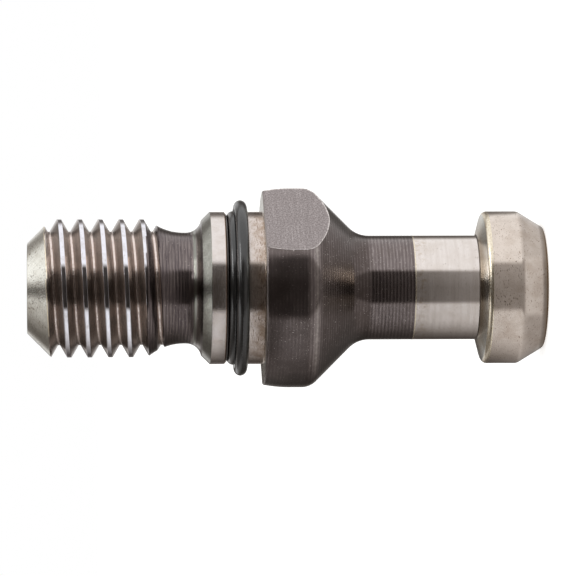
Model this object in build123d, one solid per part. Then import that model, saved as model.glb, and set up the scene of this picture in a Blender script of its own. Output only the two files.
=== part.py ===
from build123d import *
from math import radians, sqrt, tan
import os

# Pull stud of a taper tool holder, in millimetres.
# It stands on the end of its head with its thread up.
# The origin is the middle of the head's end face, and the two wrench flats face -Y and +Y.

# Whole stud
overall_length = 44.0
seat_height = 24.0

# Head, which the gripper pulls on its 15 degree underside
head_diameter = 13.0
head_end_diameter = 10.26
head_taper_length = 2.25
head_end_round = 0.4
grip_edge_height = 5.19
grip_edge_round = 0.55
grip_angle = 15.0
neck_diameter = 8.9
neck_fillet = 2.4

# Collar, with a cone down to the neck and two wrench flats
collar_diameter = 17.0
collar_thickness = 4.05
collar_cone_angle = 45.0
collar_cone_round = 1.75
collar_crown_length = 2.1
collar_crown_drop = 0.2
collar_seat_round = 0.2
wrench_flat_width = 14.0

# Pilot, which centres the stud in the holder, with its sealing groove
pilot_diameter = 13.0
pilot_length = 5.22
pilot_chamfer = 0.72
ring_groove_height = 1.72
ring_groove_width = 1.37
ring_groove_floor_diameter = 10.88
ring_groove_edge_break = 0.2

# Relief between pilot and thread
relief_diameter = 9.46
relief_floor_length = 0.15
relief_shoulder_length = 1.28
relief_runout_length = 3.12

# Thread, right-handed
thread_diameter = 11.76
thread_end_diameter = 7.66
thread_pitch = 1.75
thread_flank_angle = 60.0
thread_crest_share = 0.18
thread_depth_share = 0.6
thread_start_angle = 258.1
flank_points = 6

# Rubber rings, one seated in the groove and one riding up on it and on the groove's edge
ring_section_diameter = 1.1
ring_clearance = 0.02

# How far a cutter runs past the surface that it cuts
cutter_overrun = 0.1

# Radii and heights that follow from the sizes above
head_radius = head_diameter / 2
neck_radius = neck_diameter / 2
collar_radius = collar_diameter / 2
pilot_radius = pilot_diameter / 2
relief_radius = relief_diameter / 2
thread_radius = thread_diameter / 2
ring_groove_radius = ring_groove_floor_diameter / 2
ring_radius = ring_section_diameter / 2

ring_groove_low_wall = seat_height + ring_groove_height
ring_groove_high_wall = ring_groove_low_wall + ring_groove_width
pilot_end = seat_height + pilot_length
relief_low = pilot_end + relief_shoulder_length
relief_high = relief_low + relief_floor_length
relief_middle = (relief_low + relief_high) / 2


def head_neck_and_collar_outline():
    """Radius and height, from the middle of the head's end up to the foot of the collar's crown."""
    grip_root_height = grip_edge_height + (head_radius - neck_radius) * tan(radians(grip_angle))
    cone_edge_height = seat_height - collar_thickness
    cone_length = (collar_radius - neck_radius) / tan(radians(collar_cone_angle))
    crown_foot_height = seat_height - collar_seat_round - collar_crown_length
    points = [
        (0, 0),
        (head_end_diameter / 2, 0),
        (head_radius, head_taper_length),
        (head_radius, grip_edge_height),
        (neck_radius, grip_root_height),
        (neck_radius, cone_edge_height - cone_length),
        (collar_radius, cone_edge_height),
        (collar_radius, crown_foot_height),
    ]
    corner_radii = [head_end_round, 0, grip_edge_round, 0, neck_fillet, collar_cone_round]
    return FilletPolyline(points, radius=corner_radii)


def collar_rim_outline(crown_foot):
    """The slightly crowned rim of the collar and the small round that leads it into the seat face."""
    rim_radius = collar_radius - collar_crown_drop
    crown_top = (rim_radius, seat_height - collar_seat_round)
    seat_edge = (rim_radius - collar_seat_round, seat_height)
    crown = TangentArc(crown_foot, crown_top, tangent=(0, 1))
    seat_round = TangentArc(crown_top, seat_edge, tangent=crown % 1)
    return [crown, seat_round]


def pilot_outline(seat_edge):
    """The seat face, then the two pilot lands with the sealing groove between them."""
    return Polyline(
        seat_edge,
        (pilot_radius, seat_height),
        (pilot_radius, ring_groove_low_wall - ring_groove_edge_break),
        (pilot_radius - ring_groove_edge_break, ring_groove_low_wall),
        (ring_groove_radius, ring_groove_low_wall),
        (ring_groove_radius, ring_groove_high_wall),
        (pilot_radius - ring_groove_edge_break, ring_groove_high_wall),
        (pilot_radius, ring_groove_high_wall + ring_groove_edge_break),
        (pilot_radius, pilot_end - pilot_chamfer),
        (pilot_radius - pilot_chamfer, pilot_end),
    )


def relief_shoulder_outline(pilot_edge):
    """The round shoulder of the undercut, its floor up to the middle, and back to the axis."""
    floor_low = (relief_radius, relief_low)
    shoulder = TangentArc(floor_low, pilot_edge, tangent=(0, -1))
    inside = Polyline(floor_low, (relief_radius, relief_middle), (0, relief_middle), (0, 0))
    return [shoulder, *inside.edges()]


def turned_shank():
    """All that is turned, from the end of the head to the middle of the relief."""
    lower = head_neck_and_collar_outline()
    rim = collar_rim_outline(lower @ 1)
    pilot = pilot_outline(rim[-1] @ 1)
    relief = relief_shoulder_outline(pilot @ 1)
    outline = make_face([*lower.edges(), *rim, *pilot.edges(), *relief])
    return revolve(Plane.XZ * outline, axis=Axis.Z)


def thread_envelope():
    """The turned form that bounds the thread: the relief's long run-out and the end chamfer."""
    thread_end_radius = thread_end_diameter / 2
    outer_radius = thread_radius + cutter_overrun
    runout_height = relief_high + relief_runout_length
    foot = Polyline((0, relief_middle), (relief_radius, relief_middle), (relief_radius, relief_high))
    runout = TangentArc(foot @ 1, (thread_radius, runout_height), tangent=(0, 1))
    upper = Polyline(
        runout @ 1,
        (outer_radius, runout_height),
        (outer_radius, overall_length - (outer_radius - thread_end_radius)),
        (thread_end_radius, overall_length),
        (0, overall_length),
        (0, relief_middle),
    )
    outline = make_face([*foot.edges(), runout, *upper.edges()])
    return revolve(Plane.XZ * outline, axis=Axis.Z)


def thread_section():
    """The thread cut square to its axis: a crest arc, a root arc and two spiral flanks."""
    depth = thread_depth_share * thread_pitch
    root_radius = thread_radius - depth
    crest_edge = 180 * thread_crest_share
    flank_turn = 360 * depth * tan(radians(thread_flank_angle / 2)) / thread_pitch
    root_edge = crest_edge + flank_turn

    def at(radius, angle):
        return Vector(radius, 0).rotate(Axis.Z, angle)

    parts = [n / flank_points for n in range(flank_points + 1)]
    falling = [at(thread_radius - depth * part, crest_edge + flank_turn * part) for part in parts]
    rising = [Vector(point.X, -point.Y) for point in falling]
    crest = ThreePointArc(rising[0], at(thread_radius, 0), falling[0])
    root = ThreePointArc(falling[-1], at(root_radius, 180), rising[-1])
    return make_face([crest, Spline(falling), root, Spline(rising)]).face()


def threaded_end():
    """The thread, twisted up from the middle of the relief and trimmed to its turned form."""
    length = overall_length + thread_pitch / 2 - relief_middle
    twisted = Solid.extrude_linear_with_rotation(
        thread_section(),
        center=(0, 0, 0),
        normal=(0, 0, length),
        angle=360 * length / thread_pitch,
    )
    return Pos(0, 0, relief_middle) * Rot(0, 0, thread_start_angle) * twisted & thread_envelope()


def wrench_flat_cutters():
    """Two blocks that leave the flats across the collar and the top of its cone."""
    length = collar_diameter + 2 * cutter_overrun
    depth = (collar_diameter - wrench_flat_width) / 2 + cutter_overrun
    height = seat_height - grip_edge_height
    block = Box(length, depth, height, align=(Align.CENTER, Align.MIN, Align.MAX))
    far_side = Pos(0, wrench_flat_width / 2, seat_height) * block
    return [far_side, Rot(0, 0, 180) * far_side]


def stud_body():
    """The stud, turned, threaded and milled from one bar."""
    body = turned_shank() + threaded_end()
    for cutter in wrench_flat_cutters():
        body -= cutter
    return body


def rubber_ring(centre_radius, height):
    """A round-section ring about the stud's axis."""
    return Pos(0, 0, height) * Torus(centre_radius, ring_radius)


def seated_ring_centre():
    """Radius and height of the ring that lies on the groove's floor against its upper wall."""
    standoff = ring_radius + ring_clearance
    return ring_groove_radius + standoff, ring_groove_high_wall - standoff


def riding_ring_centre():
    """Radius and height of the ring that rests on the seated one and on the groove's lower edge."""
    seated_radius, seated_height = seated_ring_centre()
    edge_sum = pilot_radius - ring_groove_edge_break + ring_groove_low_wall
    edge_gap = (seated_radius + seated_height - edge_sum) / sqrt(2)
    rise = ring_radius + ring_clearance - edge_gap
    spread = sqrt((ring_section_diameter + ring_clearance) ** 2 - rise ** 2)
    return seated_radius + (rise + spread) / sqrt(2), seated_height + (rise - spread) / sqrt(2)


pieces = {
    "stud_body": stud_body(),
    "seated_seal_ring": rubber_ring(*seated_ring_centre()),
    "riding_seal_ring": rubber_ring(*riding_ring_centre()),
}

os.makedirs("parts", exist_ok=True)
for name, piece in pieces.items():
    export_step(piece, f"parts/{name}.step")
    print(name, round(piece.volume, 1))
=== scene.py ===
# %% [markdown]
# # A pull stud, dressed for its picture
# A pull stud is a steel bolt that is screwed into the small end of a taper tool holder. The machine's
# gripper closes round its slim neck and pulls on the underside of its head.
# The CAD model gives the shape and the sizes. This lesson gives each turned, ground, blackened or
# moulded surface the look of the real one, and then lights it as a small product on a table.

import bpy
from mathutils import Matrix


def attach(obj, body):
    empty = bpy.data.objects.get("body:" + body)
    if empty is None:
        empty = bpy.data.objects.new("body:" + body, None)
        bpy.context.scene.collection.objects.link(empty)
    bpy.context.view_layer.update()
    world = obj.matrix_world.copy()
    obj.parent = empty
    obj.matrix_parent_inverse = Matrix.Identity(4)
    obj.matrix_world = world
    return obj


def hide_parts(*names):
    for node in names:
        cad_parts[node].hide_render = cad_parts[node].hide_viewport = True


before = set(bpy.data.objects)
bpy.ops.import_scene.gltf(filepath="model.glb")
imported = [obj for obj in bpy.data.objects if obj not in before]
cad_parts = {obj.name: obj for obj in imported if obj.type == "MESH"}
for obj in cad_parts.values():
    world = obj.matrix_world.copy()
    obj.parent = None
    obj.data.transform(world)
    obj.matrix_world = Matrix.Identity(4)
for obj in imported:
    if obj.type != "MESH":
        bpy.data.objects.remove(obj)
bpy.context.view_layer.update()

# %% [markdown]
# ## Units
# The part is drawn in millimetres, and Blender's objects here are in metres. One name for a
# millimetre keeps every size below readable. The picture is 576 pixels wide.

# %% Imports and units
from math import asin, atan2, cos, pi, radians, sin, tan

import bmesh
import bpy
from mathutils import Matrix, Vector

MM = 0.001
PICTURE_WIDTH = 576
scene = bpy.context.scene

# %% [markdown]
# ## Camera
# The stud stands on its head, but in the picture it lies on its side with the thread to the left.
# So the camera looks almost level at the standing stud and is rolled a quarter turn.
# A long lens from about a third of a metre keeps the two ends nearly the same size, as they are
# in the picture, and the small height of the camera is what bends the head's edge outwards.

# %% Place the camera
AZIMUTH = radians(303.7)
HEIGHT_ANGLE = radians(3.3)
ROLL = radians(0.15)
LENS_MM = 250
SENSOR_MM = 36
PIXELS_PER_MM = 11.718
distance = LENS_MM * PICTURE_WIDTH / (SENSOR_MM * PIXELS_PER_MM) * MM

to_camera = Vector((sin(AZIMUTH) * cos(HEIGHT_ANGLE), -cos(AZIMUTH) * cos(HEIGHT_ANGLE), sin(HEIGHT_ANGLE)))
level_up = Vector((0, 0, 1)).cross(to_camera).normalized()
level_right = level_up.cross(to_camera)
picture_up = level_up * cos(ROLL) + level_right * sin(ROLL)
picture_right = picture_up.cross(to_camera)
aim = Vector((0, 0, 21.787 * MM)) - picture_up * 0.02 * MM

camera = bpy.data.objects.new("camera", bpy.data.cameras.new("camera"))
camera.data.lens = LENS_MM
camera.data.sensor_width = SENSOR_MM
camera.data.clip_start = 0.01
camera.data.clip_end = 5
turn = Matrix((picture_right, picture_up, to_camera)).transposed()
camera.matrix_world = Matrix.Translation(aim + to_camera * distance) @ turn.to_4x4()
scene.collection.objects.link(camera)
scene.camera = camera
print("camera at", round(distance / MM), "mm")

# %% [markdown]
# ## Helpers for the outline
# A lathe makes a solid from one outline, so the outline is all that has to be drawn.
# No real edge is perfectly sharp: even a crisp one has a break of a few hundredths of a millimetre,
# which catches the light as a thin line. So each corner is given with the size of its round.

# %% Outline with rounded corners
def rounded(corners, steps=4):
    """Points through corners given as (radius, height, size of the round)."""
    points = []
    for index, (radius, height, size) in enumerate(corners):
        corner = Vector((radius, height))
        if size == 0:
            points.append(corner)
            continue
        back = (Vector(corners[index - 1][:2]) - corner).normalized()
        ahead = (Vector(corners[index + 1][:2]) - corner).normalized()
        half = back.angle(ahead) / 2
        centre = corner + (back + ahead).normalized() * size / sin(half)
        first = corner + back * size / tan(half) - centre
        last = corner + ahead * size / tan(half) - centre
        points += [centre + first.slerp(last, step / steps).normalized() * size for step in range(steps + 1)]
    return points


def swept(foot, top, steps):
    """Points of the arc that leaves foot along the axis and ends at top, without foot itself."""
    across, along = top[0] - foot[0], top[1] - foot[1]
    radius = (across ** 2 + along ** 2) / (2 * across)
    sweep = asin(along / radius)
    angles = [sweep * step / steps for step in range(1, steps + 1)]
    return [Vector((foot[0] + radius * (1 - cos(a)), foot[1] + radius * sin(a))) for a in angles]


# %% [markdown]
# ## Feed marks
# A turning tool has a round nose and moves on a little with every turn of the bar. So it leaves a
# train of shallow hollows with low crests between them. In the picture they are 0.28 mm apart.
# They could be painted as bump, but real hollows also notch the outline, as they do on the cone.

# %% Hollows left by the tool
def with_feed_marks(points, feed, depth, samples=4):
    """The same outline with one hollow of the given depth to each feed of the tool.

    A third number in each point says how far down the hollow it lies, from 0 to 1.
    """
    lengths = [(end - start).length for start, end in zip(points, points[1:])]
    count = samples * round(sum(lengths) / feed)
    spacing = sum(lengths) / count
    marked = []
    index, passed = 0, 0.0
    for step in range(count):
        while spacing * step > passed + lengths[index]:
            passed += lengths[index]
            index += 1
        along = (points[index + 1] - points[index]) / lengths[index]
        share = 1 - (2 * (step % samples) / samples - 1) ** 2
        spot = points[index] + along * (spacing * step - passed)
        spot += Vector((-along.y, along.x)) * depth * share
        marked.append((spot.x, spot.y, share))
    return marked + [(points[-1].x, points[-1].y, 0)]


# %% [markdown]
# ## Outline of the shank
# The sizes are those of the CAD part: head, 15 degree grip face, neck, 45 degree cone, collar,
# pilot with its sealing groove, and the round shoulder of the relief.
# They could be read from the CAD mesh, but a written outline lets each edge have its own break.

# %% Outline of the head and the bright neck
HEAD_RADIUS = 6.5
NECK_RADIUS = 4.45
NECK_FINISH_CHANGE = 11.15

head_and_neck = rounded([
    (0, 0, 0), (5.13, 0, 0.4), (HEAD_RADIUS, 2.25, 0.7), (HEAD_RADIUS, 5.19, 0.5),
    (NECK_RADIUS, 5.739, 0.12), (NECK_RADIUS, NECK_FINISH_CHANGE, 0),
], steps=6)
print("head and bright neck:", len(head_and_neck), "points")

# %% Outline of the black neck, cone and collar
FEED = 0.285
BURNISHED_LINE = 0.1
ROUND_STEPS = 10
COLLAR_RADIUS = 8.5
CROWN_FOOT = (COLLAR_RADIUS, 21.7)
CROWN_TOP = (8.3, 23.8)

black_part = rounded([
    (NECK_RADIUS, NECK_FINISH_CHANGE + BURNISHED_LINE, 0), (NECK_RADIUS, 15.90, 2.4),
    (COLLAR_RADIUS, 19.95, 1.75), (*CROWN_FOOT, 0),
], steps=ROUND_STEPS)
fillet_end = ROUND_STEPS + 1
cone_end = fillet_end + 1 + ROUND_STEPS // 2
crown = swept(CROWN_FOOT, CROWN_TOP, steps=5)
black_neck = with_feed_marks(black_part[:fillet_end + 1], FEED, depth=0.004)
cone = with_feed_marks(black_part[fillet_end:cone_end + 1], FEED, depth=0.006)
collar = with_feed_marks(black_part[cone_end:] + crown, FEED, depth=0.003)
print("black part:", len(black_neck) + len(cone) + len(collar), "points")

# %% Outline of the pilot and the relief's shoulder
SEAT = 24.0
PILOT_RADIUS = 6.5
PILOT_END = (5.78, 29.22)
EDGE_BREAK = 0.05
GROOVE_LOW, GROOVE_HIGH = 25.72, 27.09
GROOVE_FLOOR_RADIUS = 5.44
GROOVE_BEVEL = 0.2
RELIEF_RADIUS = 4.73
SHOULDER_FOOT = (RELIEF_RADIUS, 30.5)
THREAD_FOOT = 30.65

pilot = rounded([
    (*CROWN_TOP, 0), (8.285, SEAT, 0.18), (PILOT_RADIUS, SEAT, EDGE_BREAK),
    (PILOT_RADIUS, GROOVE_LOW - GROOVE_BEVEL, EDGE_BREAK),
    (PILOT_RADIUS - GROOVE_BEVEL, GROOVE_LOW, EDGE_BREAK),
    (GROOVE_FLOOR_RADIUS, GROOVE_LOW, 0.08), (GROOVE_FLOOR_RADIUS, GROOVE_HIGH, 0.08),
    (PILOT_RADIUS - GROOVE_BEVEL, GROOVE_HIGH, EDGE_BREAK),
    (PILOT_RADIUS, GROOVE_HIGH + GROOVE_BEVEL, EDGE_BREAK),
    (PILOT_RADIUS, 28.5, EDGE_BREAK), (*PILOT_END, EDGE_BREAK), (5.6, 29.3, 0),
], steps=3)[1:-1]
shoulder = swept(SHOULDER_FOOT, PILOT_END, steps=10)[-2::-1]
relief_floor = [Vector(SHOULDER_FOOT), Vector((RELIEF_RADIUS, THREAD_FOOT))]
shank_outline = head_and_neck + black_neck[:-1] + cone[:-1] + collar + pilot + shoulder + relief_floor
print("shank outline:", len(shank_outline), "points")

# %% [markdown]
# ## Turning the outline
# Each point of the outline becomes a ring of vertices, and neighbouring rings are joined by quads.
# The Screw modifier would do the same, but here the rings have to meet the thread's mesh vertex
# by vertex, so they are written out.

# %% Lathe helper
COLUMNS = 180


def turn_outline(mesh, outline):
    """Adds rings of vertices about the upright axis to mesh, with faces that look outwards.

    A point's third number, how far down a tool's hollow it lies, is stored on its vertices.
    """
    tool_hollow = mesh.verts.layers.float.get("tool_hollow") or mesh.verts.layers.float.new("tool_hollow")
    rings = []
    for radius, height, *hollow in outline:
        count = COLUMNS if radius > 0 else 1
        angles = [2 * pi * column / COLUMNS for column in range(count)]
        ring = [mesh.verts.new((radius * cos(a) * MM, radius * sin(a) * MM, height * MM)) for a in angles]
        for vertex in ring:
            vertex[tool_hollow] = hollow[0] if hollow else 0.0
        rings.append(ring)
    for low, high in zip(rings, rings[1:]):
        for column in range(COLUMNS):
            ahead = column + 1
            loop = [
                low[column % len(low)], low[ahead % len(low)],
                high[ahead % len(high)], high[column % len(high)],
            ]
            mesh.faces.new(dict.fromkeys(loop))


stud_mesh = bmesh.new()
turn_outline(stud_mesh, shank_outline)
print("shank:", len(stud_mesh.faces), "faces")

# %% [markdown]
# ## Thread
# The thread is the feature that takes the most care. Its rows of vertices climb with the helix,
# one pitch for each turn, so the crest, the flanks and the root each follow their own rows and
# their edges stay crisp. Each vertex is then kept inside the turned blank: the long run-out of the
# relief at one end and the 45 degree chamfer at the other. That is also how the real one is made:
# the blank is turned first, and the threading tool cuts only where there is steel.

# %% One pitch of the thread
PITCH = 1.75
THREAD_RADIUS = 5.88
ROOT_RADIUS = THREAD_RADIUS - 0.6 * PITCH
CREST_HALF = 0.2 * PITCH / 2
CREST_ROUND = 0.025
FLANK_END = CREST_HALF + (THREAD_RADIUS - ROOT_RADIUS) * tan(radians(30))
ROOT_ROUND = 0.05
ROW_SPACING = 0.09

pitch_corners = rounded([
    (ROOT_RADIUS, -PITCH / 2, 0), (ROOT_RADIUS, -FLANK_END, ROOT_ROUND),
    (THREAD_RADIUS, -CREST_HALF, CREST_ROUND), (THREAD_RADIUS, CREST_HALF, CREST_ROUND),
    (ROOT_RADIUS, FLANK_END, ROOT_ROUND), (ROOT_RADIUS, PITCH / 2, 0),
], steps=3)
pitch_rows = []
for start, end in zip(pitch_corners, pitch_corners[1:]):
    pieces = max(1, round((end.y - start.y) / ROW_SPACING))
    pitch_rows += [start.lerp(end, piece / pieces) for piece in range(pieces)]
print("rows in one pitch:", len(pitch_rows))

# %% [markdown]
# ## The blank under the thread
# Before it is threaded, the end of the bar is turned: a long round run-out from the relief up to the
# thread's outside, a plain cylinder, and the chamfer. One function gives the blank's radius at any
# height, so a vertex of the thread is kept inside it with one comparison.

# %% The turned blank that bounds the thread
LENGTH = 44.0
END_RADIUS = 3.83
RUNOUT_TOP = 33.77
RUNOUT_RISE = THREAD_RADIUS - RELIEF_RADIUS
RUNOUT_ARC = (RUNOUT_RISE ** 2 + (RUNOUT_TOP - THREAD_FOOT) ** 2) / (2 * RUNOUT_RISE)


def blank_radius(height):
    """Radius of the turned blank at a height above the relief's floor."""
    if height < RUNOUT_TOP:
        return RELIEF_RADIUS + RUNOUT_ARC - (RUNOUT_ARC ** 2 - (height - THREAD_FOOT) ** 2) ** 0.5
    return min(THREAD_RADIUS, END_RADIUS + LENGTH - height)


print("run-out's round:", round(RUNOUT_ARC, 2), "mm")

# %% [markdown]
# ## Winding the thread
# Each column of vertices runs straight up the bar and meets the same rows a little higher than the
# column before it. After a full turn the rows have climbed by one pitch, so the last column is the
# first one again, one pitch on. Above and below, the rows are pressed against the relief and the end.

# %% Wind the thread's rows up the blank
RELIEF_MIDDLE = 30.575
THREAD_START_ANGLE = 258.1
CREST_START = RELIEF_MIDDLE - PITCH * THREAD_START_ANGLE / 360
THREAD_TURNS = range(-1, 9)
END_BREAK = 0.06
thread_top = LENGTH - END_BREAK
columns = []
for column in range(COLUMNS):
    share = column / COLUMNS
    angle = 2 * pi * share
    vertices = []
    for turn_number in THREAD_TURNS:
        for radius, rise in pitch_rows:
            height = CREST_START + PITCH * (share + turn_number) + rise
            height = min(max(height, THREAD_FOOT), thread_top)
            radius = min(radius, blank_radius(height))
            spot = (radius * cos(angle) * MM, radius * sin(angle) * MM, height * MM)
            vertices.append(stud_mesh.verts.new(spot))
    columns.append(vertices)
columns.append(columns[0][len(pitch_rows):])
for here, ahead in zip(columns, columns[1:]):
    rows = min(len(here), len(ahead)) - 1
    for row in range(rows):
        stud_mesh.faces.new((here[row], ahead[row], ahead[row + 1], here[row + 1]))
print("thread:", len(columns) - 1, "columns of", len(columns[0]), "vertices")

# %% [markdown]
# ## Closing the mesh
# A flat end closes the thread. Where rows were pressed against the blank, some of their vertices lie
# on one spot, and merging them takes the empty slivers away. What is left has to be one closed skin,
# and the count of open edges shows whether it is.

# %% Close the end and join what meets
MERGE_DISTANCE = 0.0004 * MM
end_outline = rounded([
    (END_RADIUS + END_BREAK, thread_top, 0), (END_RADIUS, LENGTH, END_BREAK), (0, LENGTH, 0),
], steps=3)
turn_outline(stud_mesh, end_outline)
bmesh.ops.remove_doubles(stud_mesh, verts=stud_mesh.verts, dist=MERGE_DISTANCE)
loose = [vertex for vertex in stud_mesh.verts if not vertex.link_faces]
bmesh.ops.delete(stud_mesh, geom=loose, context="VERTS")
open_edges = sum(not edge.is_manifold for edge in stud_mesh.edges)
print("with thread:", len(stud_mesh.faces), "faces,", open_edges, "open edges")

# %% [markdown]
# ## Wrench flats
# After turning, two flats are milled across the collar for a 14 mm spanner. A boolean cut would do,
# but it leaves a knife edge. Cutting a few hundredths of a millimetre outside the flat, and joining
# that rim to an outline on the flat itself, a tenth of a millimetre smaller, leaves a real broken edge
# all round. Where the edge crosses the tool's hollows, its width swings a little with them.

# %% Mill both flats
FLAT_DISTANCE = 7.0
FLAT_BREAK = 0.02
FLAT_BREAK_WIDTH = 0.1
FLAT_MIDDLE = 21.4
edge_faces = []
flat_faces = []
for side in (-1, 1):
    everything = stud_mesh.verts[:] + stud_mesh.edges[:] + stud_mesh.faces[:]
    cut = bmesh.ops.bisect_plane(
        stud_mesh, geom=everything, dist=0.001 * MM, clear_outer=True,
        plane_co=(0, side * (FLAT_DISTANCE + FLAT_BREAK) * MM, 0), plane_no=(0, side, 0),
    )
    cut_edges = [part for part in cut["geom_cut"] if isinstance(part, bmesh.types.BMEdge)]
    rim = {vertex for edge in cut_edges for vertex in edge.verts}
    middle = FLAT_MIDDLE * MM
    rim = sorted(rim, key=lambda vertex: side * atan2(vertex.co.z - middle, -vertex.co.x))
    inner = []
    for index, vertex in enumerate(rim):
        before, after = rim[index - 2].co, rim[(index + 2) % len(rim)].co
        along = (after - before).normalized()
        inward = Vector((0, side, 0)).cross(along)
        bite = 0.9 + 0.2 * sin(2 * pi * vertex.co.z / MM / FEED)
        spot = vertex.co + inward * FLAT_BREAK_WIDTH * bite * MM
        inner.append(stud_mesh.verts.new((spot.x, side * FLAT_DISTANCE * MM, spot.z)))
    for index in range(len(rim)):
        ahead = (index + 1) % len(rim)
        edge_faces.append(stud_mesh.faces.new((rim[index], rim[ahead], inner[ahead], inner[index])))
    flat_faces.append(stud_mesh.faces.new(inner))
stud_mesh.normal_update()
print("flats face", [tuple(round(n) for n in face.normal) for face in flat_faces])

# %% [markdown]
# ## One mesh, many finishes
# The stud is one bar of steel, but its surfaces were made in different ways: hard turned and ground
# bright, left black from hardening, milled, or cut as a thread. Each face is given the number of its
# finish from where it lies on the outline.

# %% Names of the finishes
FINISHES = [
    "ground_steel_head", "turned_steel_grip_face", "ground_steel_neck", "black_oxide_turned",
    "black_oxide_milled", "burnished_steel_edge", "ground_steel_pilot", "turned_steel_groove_and_corner_shade",
    "turned_steel_pilot_chamfer", "turned_steel_relief", "cut_thread_crest", "cut_thread_flank",
    "cut_thread_root", "turned_steel_end_chamfer", "worn_oxide_edge",
]
print(len(FINISHES), "finishes")

# %% [markdown]
# ## Finishes of the thread
# A spot that touches the blank was turned, and one that lies deeper was cut. Near the run-out the
# thread is shallow and keeps the relief's dark skin. Its outermost hundredths are a burnished edge.
# Small slack values take up what the flat faces lack to the round surface.

# %% Finish of a spot on the thread
BLANK_SLACK = 0.012
CREST_SLACK = 0.0015
ROOT_SLACK = 0.03
CHAMFER_FOOT = LENGTH - (THREAD_RADIUS - END_RADIUS)


def thread_finish_at(radius, height):
    """The finish of a spot above the relief's floor."""
    on_blank = radius > blank_radius(height) - BLANK_SLACK
    if (height > CHAMFER_FOOT and on_blank) or radius < END_RADIUS + 0.1:
        return "turned_steel_end_chamfer"
    if height < RUNOUT_TOP - 0.3 and (on_blank or blank_radius(height) < ROOT_RADIUS + 0.06):
        return "turned_steel_relief"
    if height < RUNOUT_TOP + 0.2 and radius > ROOT_RADIUS + 0.15:
        return "turned_steel_relief"
    if radius > THREAD_RADIUS - CREST_SLACK or on_blank:
        return "cut_thread_crest"
    if radius > THREAD_RADIUS - CREST_ROUND and height > RUNOUT_TOP:
        return "burnished_steel_edge"
    return "cut_thread_root" if radius < ROOT_RADIUS + ROOT_SLACK else "cut_thread_flank"


# %% [markdown]
# ## Finishes of the shank
# Below the thread, the height alone tells most finishes apart. The faces that are square to the axis
# share one height, and there the radius decides.

# %% Finish of a spot on the shank
GRIP_EDGE_FOOT, GRIP_ROOT = 4.78, 5.8
GRIP_FACE_INSIDE, GRIP_FACE_OUTSIDE = 4.75, 6.24
SEAT_FACE_INSIDE, SEAT_FACE_OUTSIDE = 6.52, 8.16
GROOVE_OUTSIDE = 6.28
PILOT_CHAMFER_FOOT, PILOT_CHAMFER_TOP = 28.46, 29.24


def finish_at(radius, height):
    """The finish of a spot on the outline."""
    if height > THREAD_FOOT:
        return thread_finish_at(radius, height)
    if height < GRIP_EDGE_FOOT:
        return "ground_steel_head"
    if height < GRIP_ROOT:
        if radius < GRIP_FACE_INSIDE:
            # The corner beside the neck gets the groove's dark steel as painted shade.
            return "turned_steel_groove_and_corner_shade"
        return "burnished_steel_edge" if radius > GRIP_FACE_OUTSIDE else "turned_steel_grip_face"
    if height < NECK_FINISH_CHANGE:
        return "ground_steel_neck"
    if height < NECK_FINISH_CHANGE + BURNISHED_LINE:
        return "burnished_steel_edge"
    if height < SEAT - 0.1:
        return "black_oxide_turned"
    if height < SEAT + 0.001 and radius > SEAT_FACE_INSIDE:
        return "worn_oxide_edge" if radius > SEAT_FACE_OUTSIDE else "turned_steel_grip_face"
    if radius < GROOVE_OUTSIDE and SEAT + 1 < height < PILOT_CHAMFER_FOOT:
        return "turned_steel_groove_and_corner_shade"
    if height < PILOT_CHAMFER_FOOT:
        return "ground_steel_pilot"
    return "turned_steel_pilot_chamfer" if height < PILOT_CHAMFER_TOP else "turned_steel_relief"


# %% [markdown]
# ## Sorting the faces
# The middle of a flat face lies a little inside the round surface, so its radius is scaled up before
# it is compared. The broken edges and the flats are known from the milling, and the line of faces
# where the end chamfer meets the thread is a rubbed edge.

# %% Give each face its finish
for face in stud_mesh.faces:
    middle = face.calc_center_median() / MM
    radius = middle.xy.length / cos(pi / COLUMNS)
    face.material_index = FINISHES.index(finish_at(radius, middle.z))
    face.smooth = True
for face in edge_faces:
    face.material_index = FINISHES.index("worn_oxide_edge")
    face.smooth = False
for face in flat_faces:
    face.material_index = FINISHES.index("black_oxide_milled")
chamfer = FINISHES.index("turned_steel_end_chamfer")
cut = {FINISHES.index(name) for name in ("cut_thread_flank", "cut_thread_root", "cut_thread_crest")}
lead_in_edge = [
    face for face in stud_mesh.faces if face.material_index == chamfer
    and any(other.material_index in cut for edge in face.edges for other in edge.link_faces)
]
for face in lead_in_edge:
    face.material_index = FINISHES.index("burnished_steel_edge")
print("edge where the thread leads in:", len(lead_in_edge), "faces")

# %% [markdown]
# ## From mesh to piece
# The mesh becomes an object that rides on the part's one body and stands for its CAD node. Edges
# over 38 degrees stay sharp, and weighted normals keep the flat faces beside a small round looking
# flat.

# %% Make the stud
SHARP_ANGLE = radians(38)


def made_from(mesh, name):
    """The finished mesh as an object in the scene."""
    data = bpy.data.meshes.new(name)
    mesh.to_mesh(data)
    mesh.free()
    piece = bpy.data.objects.new(name, data)
    scene.collection.objects.link(piece)
    return piece


stud = made_from(stud_mesh, "turned_stud")
stud.data.set_sharp_from_angle(angle=SHARP_ANGLE)
weighted = stud.modifiers.new("weighted_normals", "WEIGHTED_NORMAL")
weighted.keep_sharp = True
weighted.weight = 100
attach(stud, "root")
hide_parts("stud_body")
triangles = sum(len(polygon.vertices) - 2 for polygon in stud.data.polygons)
print("stud:", len(stud.data.polygons), "faces,", triangles, "triangles")

# %% [markdown]
# ## Rubber rings
# Both rings are moulded nitrile rubber of 1.1 mm section. A ring leaves its two-part mould with a
# faint parting line round its outside and inside, so the section is a circle with a low ridge there.
# The first ring sits in the groove. The second has not dropped in: it rides on the first one.

# %% Mould the two rings
RING_SECTION = 1.1
RING_STEPS = 64
PARTING_RIDGE = 0.012
PARTING_SHARE = 0.015
SEATED_CENTRE = (6.01, 26.52)
RIDING_CENTRE = (6.936, 25.890)


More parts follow.
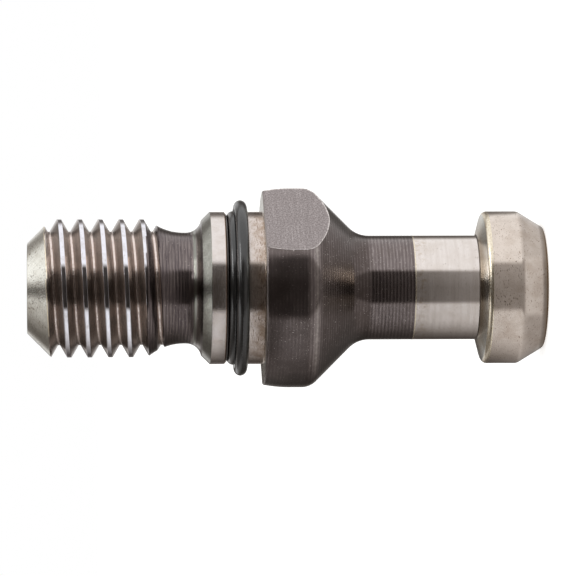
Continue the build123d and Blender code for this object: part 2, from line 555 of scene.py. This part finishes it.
def moulded_ring(name, centre_radius, height):
    """A round-section ring with a faint parting line, turned about the upright axis."""
    mesh = bmesh.new()
    outline = []
    for step in range(RING_STEPS + 1):
        angle = 2 * pi * step / RING_STEPS - pi / 2
        ridge = PARTING_RIDGE * max(0, abs(cos(angle)) - (1 - PARTING_SHARE)) / PARTING_SHARE
        size = RING_SECTION / 2 - PARTING_RIDGE + ridge
        outline.append((centre_radius + size * cos(angle), height + size * sin(angle)))
    turn_outline(mesh, outline)
    bmesh.ops.remove_doubles(mesh, verts=mesh.verts, dist=MERGE_DISTANCE)
    for face in mesh.faces:
        face.smooth = True
    ring = made_from(mesh, name)
    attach(ring, "root")
    print(name, len(ring.data.polygons), "faces")
    return ring


seated_ring = moulded_ring("seated_ring", *SEATED_CENTRE)
riding_ring = moulded_ring("riding_ring", *RIDING_CENTRE)
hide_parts("seated_seal_ring")
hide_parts("riding_seal_ring")

# %% [markdown]
# ## Helpers for materials
# Colours are written as the hex values that a picture editor shows, and one function turns them into
# the linear values that Blender's shaders work with.
# A second small function adds a node: its own settings, then the values or links of its inputs.

# %% Colour and node helpers
def linear(hex_colour):
    """An sRGB hex colour as the linear RGBA of a shader socket."""
    parts = [int(hex_colour[start:start + 2], 16) / 255 for start in (1, 3, 5)]
    return [p / 12.92 if p <= 0.04045 else ((p + 0.055) / 1.055) ** 2.4 for p in parts] + [1]


def add(tree, kind, inputs=(), **settings):
    """Adds a node. inputs maps a socket to a value, to a node or to the socket that feeds it."""
    node = tree.nodes.new("ShaderNode" + kind)
    for name, value in settings.items():
        setattr(node, name, value)
    for name, value in dict(inputs).items():
        if isinstance(value, bpy.types.Node):
            value = value.outputs[0]
        if isinstance(value, bpy.types.NodeSocket):
            tree.links.new(value, node.inputs[name])
        else:
            node.inputs[name].default_value = value
    return node


def new_material(name, **values):
    """A material with its Principled shader, whose named sockets get the given plain values."""
    material = bpy.data.materials.new(name)
    material.use_nodes = True
    tree = material.node_tree
    shader = tree.nodes["Principled BSDF"]
    for socket, value in values.items():
        shader.inputs[socket].default_value = value
    return material, tree, shader


# %% [markdown]
# ## Patterns in millimetres
# Every pattern is drawn in space, in millimetres from the stud's own axis, so its scale is a real
# size. A turned surface carries very fine lines round the axis. Noise that is squeezed along the
# axis and left long around it gives just that, because a step round the bar changes x and y only.
# Real grinding lines are a few hundredths of a millimetre apart. They are drawn 0.06 to 0.1 mm apart,
# because finer ones wouldn't show. Stains and pits are cloudy noise that is cut off at two levels,
# and bands at a height come from the distance to that height.

# %% Patterns along and round the bar
def on_the_bar(tree, across=1.0, along=1.0):
    """Position in mm, divided by a pattern's size across the bar and along its axis."""
    spot = add(tree, "TexCoord").outputs["Object"]
    scale = (1 / across / MM, 1 / across / MM, 1 / along / MM)
    return add(tree, "VectorMath", {0: spot, 1: scale}, operation="MULTIPLY")


def turning_lines(tree, spacing, length, seed):
    """Fine lines round the bar, about spacing mm apart, that fade in and out over length mm."""
    spot = on_the_bar(tree, length, spacing)
    return add(tree, "TexNoise", {
        "Vector": spot, "W": seed, "Scale": 1.0, "Detail": 3.0, "Roughness": 0.55,
    }, noise_dimensions="4D")


def patches(tree, size, low, high, seed, along=None, detail=4.0):
    """Cloudy patches of about size mm: 0 where the cloud is under low, 1 where it is over high."""
    spot = on_the_bar(tree, size, along or size)
    cloud = add(tree, "TexNoise", {
        "Vector": spot, "W": seed, "Scale": 1.0, "Detail": detail, "Roughness": 0.6,
    }, noise_dimensions="4D")
    return add(tree, "MapRange", {"Value": cloud, "From Min": low, "From Max": high}, clamp=True)


# %% Bands at a height
def near_height(tree, height, reach, fade):
    """1 within reach mm of a height on the bar, falling to 0 over the next fade mm."""
    level = add(tree, "SeparateXYZ", {0: on_the_bar(tree)}).outputs[2]
    away = add(tree, "Math", {0: level, 1: -height}, operation="ADD")
    away = add(tree, "Math", {0: away}, operation="ABSOLUTE")
    return add(tree, "MapRange", {
        "Value": away, "From Min": reach, "From Max": reach + fade, "To Min": 1.0, "To Max": 0.0,
    }, clamp=True)


# %% [markdown]
# ## From pattern to surface
# A pattern can do three things to a metal: change its colour, tilt its surface, or steer its
# highlights. Colours are laid over each other like thin coats, the strongest marks last. A lathe's
# fine lines smear highlights across them, so ground surfaces are anisotropic about the stud's axis.

# %% Coats of colour
def tinted(tree, shader, ground, *layers):
    """Colours the shader with a ground colour and then each (pattern, colour) over it.

    A layer with several patterns before its colour shows where all of them are strong.
    """
    colour = linear(ground)
    for pattern, *others, hex_colour in layers:
        for other in others:
            pattern = add(tree, "Math", {0: pattern, 1: other}, operation="MULTIPLY")
        mixed = add(tree, "Mix", {0: pattern, 6: colour, 7: linear(hex_colour)}, data_type="RGBA")
        colour = mixed.outputs[2]
    tree.links.new(colour, shader.inputs["Base Color"])


# %% Tilt and grain
def raised(tree, shader, *patterns):
    """Tilts the surface by each (pattern, depth in mm). A negative depth sinks it."""
    normal = None
    for pattern, depth in patterns:
        inputs = {"Height": pattern, "Distance": abs(depth) * MM, "Strength": 1.0}
        if normal is not None:
            inputs["Normal"] = normal
        normal = add(tree, "Bump", inputs, invert=depth < 0)
    tree.links.new(normal.outputs[0], shader.inputs["Normal"])


def lay_around(tree, shader):
    """Turns the grain so that highlights stretch along the axis, across the turning lines."""
    tangent = add(tree, "Tangent", direction_type="RADIAL", axis="Z")
    tree.links.new(tangent.outputs[0], shader.inputs["Tangent"])
    shader.inputs["Anisotropic Rotation"].default_value = 0.25


# %% Shelf for the finished materials
materials = {}


def keep(material):
    """Files a finished material under its name and tells how many nodes it took."""
    materials[material.name] = material
    print(material.name, len(material.node_tree.nodes), "nodes")


# %% [markdown]
# ## Ground steel of the pilot
# The pilot is ground after hardening, so it is the brightest surface. Its fine lines make
# reflections smear along the axis and stay sharp round the bar. Handling and oil have left small
# brown marks, more of them towards the collar, and the broken edges of the lands are brown too.
# Beside the collar the land is also painted darker, as painted shade from the collar.

# %% Ground steel, pilot
LOW_LAND_EDGE, HIGH_LAND_EDGE = 25.54, 27.27
material, tree, shader = new_material(
    "ground_steel_pilot", Metallic=1.0, Roughness=0.19, Anisotropic=0.9)
lines = turning_lines(tree, spacing=0.06, length=3, seed=0)
scratches = patches(tree, 0.35, 0.53, 0.61, seed=5, along=0.08)
# Towards the collar the plain tint is painted shade from the collar. The scratches and clouds are stains.
collar_shade_and_stain = near_height(tree, SEAT, 0.35, 1.2)
tinted(
    tree, shader, "#E0D8D4",
    (patches(tree, 0.9, 0.42, 0.75, seed=2), "#D3C8C1"),
    (patches(tree, 0.09, 0.66, 0.7, seed=3, detail=2), "#B7A79A"),
    (collar_shade_and_stain, "#D6C9C1"),
    (collar_shade_and_stain, scratches, "#8C7462"),
    (collar_shade_and_stain, patches(tree, 0.7, 0.38, 0.62, seed=6), "#AE9A8A"),
    (near_height(tree, HIGH_LAND_EDGE, 0.03, 0.04), "#9C7A5E"),
    (near_height(tree, LOW_LAND_EDGE, 0.02, 0.05), "#A58A72"),
)
raised(tree, shader, (lines, 0.0012), (scratches, -0.0015))
lay_around(tree, shader)
keep(material)

# %% [markdown]
# ## Ground steel of the neck
# The half of the neck next to the head is ground bright, with the same lay. A few faint darker rings
# and brown clouds show where it was held, and next to the black half there is a brown stain.

# %% Ground steel, neck
material, tree, shader = new_material(
    "ground_steel_neck", Metallic=1.0, Roughness=0.13, Anisotropic=0.9)
lines = turning_lines(tree, spacing=0.07, length=4, seed=1)
bands = turning_lines(tree, spacing=0.3, length=6, seed=21)
rings = add(tree, "MapRange", {"Value": bands, "From Min": 0.4, "From Max": 0.7}, clamp=True)
black_side = near_height(tree, NECK_FINISH_CHANGE - 0.35, 0.3, 0.5)
tinted(
    tree, shader, "#E6DED9",
    (rings, "#DBD2CC"),
    (patches(tree, 1.4, 0.45, 0.8, seed=3), "#D6CCC4"),
    (black_side, patches(tree, 0.4, 0.5, 0.7, seed=22), "#CDBFB0"),
    (patches(tree, 0.12, 0.7, 0.73, seed=23, detail=1), "#8B7B6D"),
)
raised(tree, shader, (lines, 0.0010))
lay_around(tree, shader)
keep(material)

# %% [markdown]
# ## Ground steel of the head
# The head is bright too, but it has been handled and pulled: brown clouds, a brown rim round its end,
# and fine pits that follow the turning lines. The pits come in groups, so one fine pattern is
# multiplied by a coarse one. They are real dents, and tilt the surface as well as colour it.

# %% Ground steel, head
material, tree, shader = new_material("ground_steel_head", Metallic=1.0, Roughness=0.12, Anisotropic=0.8)
pits = patches(tree, 0.22, 0.59, 0.67, seed=4, along=0.1, detail=3)
groups = patches(tree, 1.6, 0.35, 0.55, seed=7, detail=2)
pitted = add(tree, "Math", {0: pits, 1: groups}, operation="MULTIPLY")
lines = turning_lines(tree, spacing=0.08, length=3, seed=24)
tinted(
    tree, shader, "#E2D6CC",
    (patches(tree, 0.9, 0.45, 0.75, seed=25), "#D3C6BB"),
    (patches(tree, 2.2, 0.5, 0.75, seed=26), "#C6B6A8"),
    (near_height(tree, 0.0, 0.1, 0.3), "#C0AE98"),
    (near_height(tree, 0.12, 0.02, 0.04), "#8F6B46"),
    (pitted, "#8A7564"),
)
raised(tree, shader, (lines, 0.0015), (pitted, -0.003))
lay_around(tree, shader)
keep(material)

# %% [markdown]
# ## Turned faces square to the axis
# The grip face and the collar's seat face are turned and not polished, so they are satin: they mirror
# the room without a clear picture in it. Oil has dried on them in brown clouds. The darker brown ring
# in the corner beside the neck is painted shade.

# %% Turned steel, grip and seat faces
GRIP_CORNER = 5.75
material, tree, shader = new_material("turned_steel_grip_face", Metallic=1.0, Roughness=0.24)
grain = patches(tree, 0.12, 0.3, 0.7, seed=9, detail=3)
tinted(
    tree, shader, "#DCDCD5",
    (patches(tree, 1.6, 0.45, 0.75, seed=8), "#C3B8A6"),
    (patches(tree, 0.5, 0.5, 0.8, seed=27), "#B4A795"),
    # Painted shade: a darker brown ring in the corner beside the neck.
    (near_height(tree, GRIP_CORNER, 0.15, 0.3), "#AA9E8B"),
)
raised(tree, shader, (grain, 0.0006))
keep(material)

# %% [markdown]
# ## Burnished edges
# Where an edge has been rubbed in use, the steel is smooth and has a warm, straw-coloured shine.

# %% Burnished steel, edges
material, tree, shader = new_material("burnished_steel_edge", Metallic=1.0, Roughness=0.26)
sparkle = patches(tree, 0.2, 0.4, 0.7, seed=10, detail=2)
tinted(tree, shader, "#EFE5D2", (sparkle, "#D8C8AE"))
raised(tree, shader, (sparkle, 0.001))
keep(material)

# %% [markdown]
# ## Worn edges of the black skin
# The edges of the flats and of the collar are rubbed through the black skin. What shows there is a
# thin, light grey line, which is duller beside the seat.

# %% Worn oxide, edges
material, tree, shader = new_material("worn_oxide_edge", Metallic=1.0, Roughness=0.4)
sparkle = patches(tree, 0.25, 0.4, 0.65, seed=47, detail=2)
tinted(tree, shader, "#E2DAD7", (sparkle, "#AAA29E"), (near_height(tree, SEAT, 0.25, 0.1), "#8F8784"))
raised(tree, shader, (sparkle, 0.002))
keep(material)

# %% [markdown]
# ## Black oxide on turned steel
# Collar, cone and the first half of the neck keep the brown-black skin from hardening. The hollows of
# the tool are in the mesh already. Here their crests are rubbed lighter and their floors stay dark,
# and small bare points sparkle. The cone is the darkest, the collar is a little rougher than the
# rest, and the round between them is rubbed light.

# %% Black oxide, turned
CONE_MIDDLE, CONE_FOOT = 17.2, 17.3
CONE_EDGE = 19.78
COLLAR_MIDDLE = 22.2
material, tree, shader = new_material("black_oxide_turned", Metallic=1.0, Roughness=0.15, Anisotropic=0.9)
lines = turning_lines(tree, spacing=0.09, length=1.2, seed=11)
streaks = add(tree, "MapRange", {"Value": lines, "From Min": 0.35, "From Max": 0.7}, clamp=True)
sparks = patches(tree, 0.1, 0.69, 0.73, seed=12, detail=1)
hollow = add(tree, "Attribute", attribute_name="tool_hollow").outputs["Fac"]
crests = add(tree, "MapRange", {"Value": hollow, "From Min": 0.9, "From Max": 0.1}, clamp=True)
on_cone = near_height(tree, CONE_MIDDLE, 1.9, 0.5)
on_collar = near_height(tree, COLLAR_MIDDLE, 1.6, 0.4)
on_round = near_height(tree, CONE_EDGE, 0.02, 0.22)
tinted(
    tree, shader, "#645B5A",
    (patches(tree, 2.5, 0.4, 0.7, seed=28), "#6C625E"),
    (streaks, "#7C7271"),
    (on_cone, "#5A504E"),
    (near_height(tree, CONE_FOOT, 0.2, 0.9), "#4D4543"),
    (crests, patches(tree, 0.6, 0.25, 0.6, seed=46, along=0.3), "#958B89"),
    (on_collar, patches(tree, 1.4, 0.25, 0.6, seed=49), "#675E5C"),
    (on_cone, patches(tree, 1.0, 0.15, 0.65, seed=50), "#5A514E"),
    (on_round, patches(tree, 0.35, 0.25, 0.65, seed=48), "#A59C98"),
    (sparks, "#C9C2BE"),
)
raised(tree, shader, (lines, 0.003))
rough_part = near_height(tree, COLLAR_MIDDLE, 1.6, 0.6)
rougher = add(tree, "MapRange", {"Value": rough_part, "To Min": 0.15, "To Max": 0.25})
tree.links.new(rougher.outputs[0], shader.inputs["Roughness"])
lay_around(tree, shader)
keep(material)

# %% [markdown]
# ## Black oxide on the milled flats
# The flats have the same skin, but the milling cutter left a fine grain instead of rings.
# The real grain is under 0.1 mm. It is drawn about 0.15 mm wide, so that it shows.

# %% Black oxide, milled
material, tree, shader = new_material("black_oxide_milled", Metallic=1.0, Roughness=0.45)
grain = patches(tree, 0.14, 0.42, 0.58, seed=13, detail=2)
cutter_lines = patches(tree, 3.0, 0.4, 0.6, seed=29, along=0.15, detail=2)
tinted(
    tree, shader, "#BBB2B1",
    (patches(tree, 1.5, 0.4, 0.7, seed=30), "#A69C9B"),
    (cutter_lines, "#A79E9D"),
    (grain, "#8A8180"),
)
raised(tree, shader, (grain, 0.006))
keep(material)

# %% [markdown]
# ## Groove and pilot chamfer
# The groove is cut before hardening and stays dark. The same dark steel in the corner between neck
# and grip face is painted shade.
# The chamfer towards the thread is turned and then touched by the oxide bath, which leaves a grey
# satin with small bright points.

# %% Turned steel, groove
material, tree, shader = new_material("turned_steel_groove_and_corner_shade", Metallic=1.0, Roughness=0.45)
tinted(tree, shader, "#5F564F", (patches(tree, 0.3, 0.4, 0.7, seed=31), "#7D6F62"))
raised(tree, shader, (turning_lines(tree, spacing=0.08, length=2, seed=32), 0.003))
keep(material)

# %% Turned steel, pilot chamfer
material, tree, shader = new_material("turned_steel_pilot_chamfer", Metallic=1.0, Roughness=0.22)
grain = patches(tree, 0.11, 0.35, 0.65, seed=14, detail=3)
tinted(
    tree, shader, "#87867F",
    (grain, "#A4A39B"),
    (patches(tree, 0.1, 0.67, 0.72, seed=33, detail=1), "#C9C9C2"),
    (patches(tree, 0.8, 0.45, 0.7, seed=34), "#84817A"),
)
raised(tree, shader, (grain, 0.002))
keep(material)

# %% [markdown]
# ## Turned steel of the relief
# The relief is left as the roughing tool made it: rings 0.27 mm apart under a thin dark skin. The
# shoulder that rises to the pilot is smoother, and its two paler bands are painted highlights.
# The rings are a sine wave along the axis, which is a plain and exact way to draw an even feed.

# %% Turned steel, relief
RELIEF_FEED = 0.27
SHOULDER_HIGHLIGHT_BANDS = (29.5, 29.86)
material, tree, shader = new_material("turned_steel_relief", Metallic=1.0, Roughness=0.22, Anisotropic=0.9)
level = add(tree, "SeparateXYZ", {0: on_the_bar(tree)}).outputs[2]
wave = add(tree, "Math", {0: level, 1: 2 * pi / RELIEF_FEED}, operation="MULTIPLY")
wave = add(tree, "Math", {0: wave}, operation="SINE")
rings = add(tree, "MapRange", {"Value": wave, "From Min": -1.0, "From Max": 1.0})
lines = turning_lines(tree, spacing=0.1, length=1.5, seed=15)
streaks = add(tree, "MapRange", {"Value": lines, "From Min": 0.35, "From Max": 0.65}, clamp=True)
tinted(
    tree, shader, "#5C5355",
    (streaks, "#746A68"),
    (rings, streaks, "#8C8280"),
    # Two painted highlight bands round the shoulder.
    (near_height(tree, SHOULDER_HIGHLIGHT_BANDS[0], 0.1, 0.15), "#6A625C"),
    (near_height(tree, SHOULDER_HIGHLIGHT_BANDS[1], 0.08, 0.1), "#8E8D86"),
    (patches(tree, 0.1, 0.7, 0.74, seed=35, detail=1), "#C2B8B2"),
)
raised(tree, shader, (rings, 0.008), (lines, 0.004))
lay_around(tree, shader)
keep(material)

# %% [markdown]
# ## The three surfaces of the thread
# The crest is what is left of the ground bar, so it is as bright as the pilot, but where it fades
# into the run-out it is dark. The flanks are cut by the threading tool. They reflect each other,
# which darkens and browns them, and they carry fine lines round the bar. The root is cut by the
# tool's tip and is a little torn and slightly pink.

# %% Cut thread, crest
material, tree, shader = new_material("cut_thread_crest", Metallic=1.0, Roughness=0.13, Anisotropic=0.9)
tinted(
    tree, shader, "#EBEAF1",
    (patches(tree, 0.9, 0.45, 0.75, seed=16), "#CFCBCE"),
    (patches(tree, 0.12, 0.66, 0.7, seed=36, detail=2), "#8E8078"),
    (near_height(tree, RUNOUT_TOP - 1.0, 0.98, 0.04), "#7B716E"),
)
raised(tree, shader, (turning_lines(tree, spacing=0.06, length=3, seed=37), 0.001))
lay_around(tree, shader)
keep(material)

# %% Cut thread, flank
material, tree, shader = new_material("cut_thread_flank", Metallic=1.0, Roughness=0.22, Anisotropic=0.6)
lines = turning_lines(tree, spacing=0.07, length=2.5, seed=17)
streaks = add(tree, "MapRange", {"Value": lines, "From Min": 0.35, "From Max": 0.65}, clamp=True)
tinted(
    tree, shader, "#ABA19B",
    (streaks, "#C2B6AF"),
    (patches(tree, 1.2, 0.5, 0.75, seed=38), "#9C9792"),
    (patches(tree, 0.9, 0.6, 0.75, seed=39), "#85766B"),
)
raised(tree, shader, (lines, 0.003))
lay_around(tree, shader)
keep(material)

# %% Cut thread, root
material, tree, shader = new_material("cut_thread_root", Metallic=1.0, Roughness=0.15, Anisotropic=0.8)
tears = patches(tree, 0.16, 0.45, 0.7, seed=18, along=0.1, detail=3)
tinted(
    tree, shader, "#EADCD6",
    (tears, "#CDB9AE"),
    (patches(tree, 0.14, 0.68, 0.71, seed=40, detail=1), "#54453A"),
)
raised(tree, shader, (tears, -0.006))
lay_around(tree, shader)
keep(material)

# %% [markdown]
# ## Turned steel of the end chamfer
# The chamfer that leads the thread in is turned to a silvery satin. Handling has left groups of fine
# brown spots and darker clouds on it, and its edge towards the thread is straw-brown.

# %% Turned steel, end chamfer
CHAMFER_EDGE = 42.0
material, tree, shader = new_material(
    "turned_steel_end_chamfer", Metallic=1.0, Roughness=0.2, Anisotropic=0.3)
grain = patches(tree, 0.12, 0.35, 0.65, seed=19, detail=3)
dots = patches(tree, 0.15, 0.56, 0.66, seed=41, detail=3)
groups = patches(tree, 1.3, 0.4, 0.58, seed=42, detail=2)
spots = add(tree, "Math", {0: dots, 1: groups}, operation="MULTIPLY")
tinted(
    tree, shader, "#E5E3DA",
    (patches(tree, 1.0, 0.42, 0.7, seed=43), "#BFB9AC"),
    (grain, "#D9D6CD"),
    (spots, "#6E5D4D"),
    (near_height(tree, CHAMFER_EDGE, 0.02, 0.06), "#A87F55"),
)
raised(tree, shader, (grain, 0.0025), (spots, -0.004))
lay_around(tree, shader)
keep(material)

# %% [markdown]
# ## Finishes onto the stud
# So far each face has only the number of its finish. The materials are handed over in the order of
# the names, so that each number finds its own.

# %% Hand the finishes to the stud
for name in FINISHES:
    stud.data.materials.append(materials[name])
print("finishes:", len(stud.data.materials))

# %% [markdown]
# ## Moulded nitrile rubber
# Nitrile rubber is filled with soot, so it is nearly black. It is moulded smooth, and a film of oil
# gives it a broad grey shine. A few specks of dust stick to it.

# %% Moulded nitrile rubber
material, tree, shader = new_material(
    "moulded_nitrile_rubber", **{"Roughness": 0.19, "IOR": 1.55, "Specular IOR Level": 0.85})
bloom = patches(tree, 0.5, 0.35, 0.7, seed=20)
dust = patches(tree, 0.08, 0.7, 0.74, seed=44, detail=1)
tinted(tree, shader, "#0D0D0D", (bloom, "#161515"), (dust, "#5A5855"))
raised(tree, shader, (patches(tree, 0.07, 0.3, 0.7, seed=45, detail=2), 0.0015))
for ring in (seated_ring, riding_ring):
    ring.data.materials.append(material)
print(material.name, len(tree.nodes), "nodes")

# %% [markdown]
# ## Light
# Bright metal shows its surroundings, so the surroundings are the light. Around the stud stands a
# tent of white and grey paper, as for a product picture. It is white above the stud in the
# picture, greyer below and nearly black towards the camera, which puts the dark band along the
# middle of each bright surface. The paper is made of rings, each with its own greys. Only
# reflections see the tent. Two soft lamps and the room light what is matt.

# %% One ring of the tent's paper
def paper_ring(distance, front, above, below, behind, lower_card=0.6, upper_card=0.7):
    """Stops of one ring of paper: pairs of an angle and a grey.

    The angle goes from the camera's side towards the top of the picture. The dark gap at the
    camera is a little narrower close to the stud. Straight behind the stud, each side of the
    middle has a card of its own.
    """
    gap = max(0.8, 1 - 4 / distance)
    gap_top = min(1.9 * front, front + 0.12)
    lower_side = [
        (-179, lower_card), (-172, lower_card), (-165, behind), (-158, behind),
        (-152, 0.5 * behind), (-145, 0.5 * behind), (-121, 0.17 * below + 0.5 * behind),
        (-75, 0.92 * below), (-39 * gap, below), (-32 * gap, front), (0, front),
    ]
    upper_side = [
        (35 * gap, gap_top), (42 * gap, above), (128, above), (140, 0.3 * above),
        (148, behind), (158, behind), (170, upper_card), (180, upper_card),
    ]
    return lower_side + upper_side


# %% Grey between the stops
def grey_towards(stops, degrees):
    """The grey at an angle, on straight lines between the stops."""
    for (first, first_grey), (last, last_grey) in zip(stops, stops[1:]):
        if first <= degrees <= last:
            return first_grey + (last_grey - first_grey) * (degrees - first) / (last - first)
    return stops[-1][1]


# %% [markdown]
# ## Rings of the tent
# A cone or a chamfer mirrors another height of the tent than the upright neck does, so the greys
# change from ring to ring. Each was set by looking at the surface that mirrors it.
# The first rings lie on the table, where the head's taper and the collar's cone look down on them.
# The others make a ball round the stud. The cylinders mirror its foot, and all that looks up, such
# as the grip face, the pilot's chamfer and the end chamfer, mirrors its walls and its roof.

# %% Sizes and greys of the rings
# On the table: distance from the axis in mm. In the air: height angle from the stud's middle in
# degrees. After that come the greys of paper_ring in its order: front, above, below and behind,
# and then the lower and the upper card where they differ from the usual ones.
ON_THE_TABLE = [
    (4.8, 0.2, 0.3, 0.2, 0.2), (5.5, 0.25, 0.4, 0.25, 0.2), (5.7, 0.6, 0.65, 0.42, 0.3),
    (6.9, 0.65, 0.68, 0.42, 0.3), (7.5, 0.6, 0.62, 0.5, 0.3), (8.3, 0.42, 0.65, 0.55, 0.35),
    (10, 0.3, 0.78, 0.65, 0.4), (22, 0.3, 0.98, 0.75, 0.35), (28, 0.32, 0.98, 0.72, 0.3),
    (55, 0.3, 1.02, 0.62, 0.15), (116, 0.19, 1.06, 0.66, 0.12), (124, 0.02, 1.08, 0.15, 0.15),
    (270, 0, 1.05, 0.1, 0.15), (380, 0.02, 1.08, 1.2, 0.15),
]
IN_THE_AIR = [
    (-1.7, 0.02, 1.08, 1.6, 0.15), (-1.2, 0.05, 1.08, 1.65, 0.15), (-0.8, 0.02, 1.08, 1.45, 0.15, 0.05),
    (1.5, 0.02, 1.08, 1.35, 0.15, 0.02), (4, 0.02, 1.08, 0.65, 0.15, 0.02, 0.8),
    (8, 0.04, 1.05, 0.2, 0.5, 0.15, 0.9), (14, 0.11, 1.05, 0.12, 0.9, 0.2, 0.9),
    (19, 0.14, 1.05, 0.12, 0.9, 0.18, 0.5), (22, 0.08, 1.05, 0.12, 0.6, 0.08, 0.22),
    (28, 0.04, 1.05, 0.12, 0.3, 0.08, 0.3), (30.5, 0.04, 1.08, 0.2, 0.3, 0.08, 0.3),
    (32, 0.04, 1.1, 0.25, 0.3, 0.05, 0.15), (33.2, 0.04, 1.1, 0.25, 0.3, 0, 0),
    (42, 0.05, 1.15, 0.3, 0.3, 0.05, 0.05), (50, 0.06, 1.2, 0.7, 0.43), (60, 0.06, 1.25, 1.2, 0.43),
    (78, 0.08, 1.3, 1.35, 0.4), (82, 0.05, 1.12, 0.08, 0.2), (86, 0.03, 0.5, 0.02, 0.05),
    (89.9, 0.05, 0.05, 0.05, 0.05),
]
TENT_RADIUS = 400
STUD_MIDDLE = 22
TABLE_GAP, TABLE_RISE = 0.02, 1 / 500
tent_rings = [(distance, TABLE_GAP + distance * TABLE_RISE, greys) for distance, *greys in ON_THE_TABLE]
for height_angle, *greys in IN_THE_AIR:
    lift = radians(height_angle)
    tent_rings.append((TENT_RADIUS * cos(lift), STUD_MIDDLE + TENT_RADIUS * sin(lift), greys))
print("tent:", len(tent_rings), "rings")

# %% [markdown]
# ## Making the tent
# The rings become one mesh, and each vertex carries its grey in an attribute, so the paper needs no
# picture. The paper glows with that grey, very slightly warm, and only reflections see it.

# %% Mesh of the tent
def direction(degrees):
    """Level direction at an angle from the camera's side towards the top of the picture."""
    level = Vector((to_camera.x, to_camera.y, 0)).normalized()
    return level * cos(radians(degrees)) + level_up * sin(radians(degrees))


TENT_STEP = 2
tent_mesh = bmesh.new()
paper_grey = tent_mesh.verts.layers.float.new("paper_grey")
tent_loops = []
for radius, height, greys in tent_rings:
    stops = paper_ring(radius, *greys)
    loop = []
    for degrees in range(-180, 180, TENT_STEP):
        spot = direction(degrees) * radius * MM
        vertex = tent_mesh.verts.new((spot.x, spot.y, height * MM))
        vertex[paper_grey] = grey_towards(stops, degrees)
        loop.append(vertex)
    tent_loops.append(loop)
for low, high in zip(tent_loops, tent_loops[1:]):
    for step in range(len(low)):
        ahead = (step + 1) % len(low)
        tent_mesh.faces.new((low[step], low[ahead], high[ahead], high[step]))
tent = made_from(tent_mesh, "paper_tent")
for ray_kind in ("camera", "diffuse", "transmission", "volume_scatter", "shadow"):
    setattr(tent, "visible_" + ray_kind, False)
print("tent:", len(tent.data.polygons), "faces")

# %% Paper of the tent
GREEN_WARMTH, BLUE_WARMTH = 1.05, 1.09
material = bpy.data.materials.new("white_and_grey_paper")
material.use_nodes = True
tree = material.node_tree
tree.nodes.clear()
grey = add(tree, "Attribute", attribute_name="paper_grey").outputs["Fac"]
green = add(tree, "Math", {0: grey, 1: GREEN_WARMTH}, operation="POWER")
blue = add(tree, "Math", {0: grey, 1: BLUE_WARMTH}, operation="POWER")
warm_grey = add(tree, "CombineColor", {0: grey, 1: green, 2: blue})
paper = add(tree, "Emission", {"Color": warm_grey, "Strength": 1.0})
add(tree, "OutputMaterial", {0: paper})
tent.data.materials.append(material)
print(material.name, len(tree.nodes), "nodes")

# %% [markdown]
# ## The room
# The room is plain white. What looks at it directly, or in a mirror, sees it pure white, and what it
# lights gets a little less than that, so that matt surfaces keep their own colours.

# %% World
ROOM_LIGHT = 0.75


def seen_directly(tree):
    """1 for rays from the camera and for rays that a shiny or clear surface sends on."""
    ray = add(tree, "LightPath")
    kinds = {0: ray.outputs["Is Camera Ray"], 1: ray.outputs["Is Glossy Ray"]}
    seen = add(tree, "Math", kinds, operation="MAXIMUM")
    return add(tree, "Math", {0: seen, 1: ray.outputs["Is Transmission Ray"]}, operation="MAXIMUM")


world = bpy.data.worlds.new("white_studio")
world.use_nodes = True
scene.world = world
tree = world.node_tree
tree.nodes.clear()
room = add(tree, "Background", {"Color": linear("#FFFFFF"), "Strength": ROOM_LIGHT})
backdrop = add(tree, "Background", {"Color": linear("#FFFFFF"), "Strength": 1.0})
sky = add(tree, "MixShader", {0: seen_directly(tree), 1: room, 2: backdrop})
add(tree, "OutputWorld", {0: sky})
print("room light:", ROOM_LIGHT)

# %% [markdown]
# ## Two soft lamps
# A narrow strip lights the stud from the upper side of the picture and also shows in the metal as a
# bright line. A large soft box on the lower side only softens the shadows of what is matt.

# %% Lamps
LAMP_DISTANCE = 380


def soft_lamp(name, degrees, height_angle, width, tall, watts):
    """A soft box just inside the tent that faces the stud from the given side."""
    data = bpy.data.lights.new(name, "AREA")
    data.shape = "RECTANGLE"
    data.size = width
    data.size_y = tall
    data.energy = watts
    lamp = bpy.data.objects.new(name, data)
    lift = radians(height_angle)
    ray = direction(degrees) * cos(lift) + Vector((0, 0, sin(lift)))
    lamp.location = ray * LAMP_DISTANCE * MM + Vector((0, 0, STUD_MIDDLE * MM))
    lamp.rotation_euler = ray.to_track_quat("Z", "Y").to_euler()
    lamp.visible_camera = False
    scene.collection.objects.link(lamp)
    print(name, watts, "W")
    return lamp


soft_lamp("bright_strip", degrees=50, height_angle=50, width=0.3, tall=0.05, watts=0.22)
fill = soft_lamp("lower_soft_box", degrees=-70, height_angle=30, width=0.4, tall=0.4, watts=0.3)
fill.visible_glossy = False

# %% [markdown]
# ## Floor
# The stud stands on a plain pale table of white paper. A glow that only the camera and mirrors see
# makes it white in the picture, and the paper under that glow still takes the stud's shadow.

# %% Mesh of the floor
FLOOR_HALF = 3
floor_mesh = bmesh.new()
bmesh.ops.create_grid(floor_mesh, x_segments=1, y_segments=1, size=FLOOR_HALF)
floor = made_from(floor_mesh, "floor")
print("floor:", 2 * FLOOR_HALF, "m wide")

# %% Paper of the floor
FLOOR_GLOW = 0.55
material = bpy.data.materials.new("white_paper_floor")
material.use_nodes = True
tree = material.node_tree
tree.nodes.clear()
brightness = add(tree, "Math", {0: seen_directly(tree), 1: FLOOR_GLOW}, operation="MULTIPLY")
glow = add(tree, "Emission", {"Color": linear("#FFFFFF"), "Strength": brightness})
paper = add(tree, "BsdfDiffuse", {"Color": linear("#F4F4F2")})
surface = add(tree, "AddShader", {0: glow, 1: paper})
add(tree, "OutputMaterial", {0: surface})
floor.data.materials.append(material)
print(material.name, len(tree.nodes), "nodes")

# %% [markdown]
# ## Colours as written
# The standard view shows each colour as its hex value says.

# %% Colours as written
scene.view_settings.view_transform = "Standard"
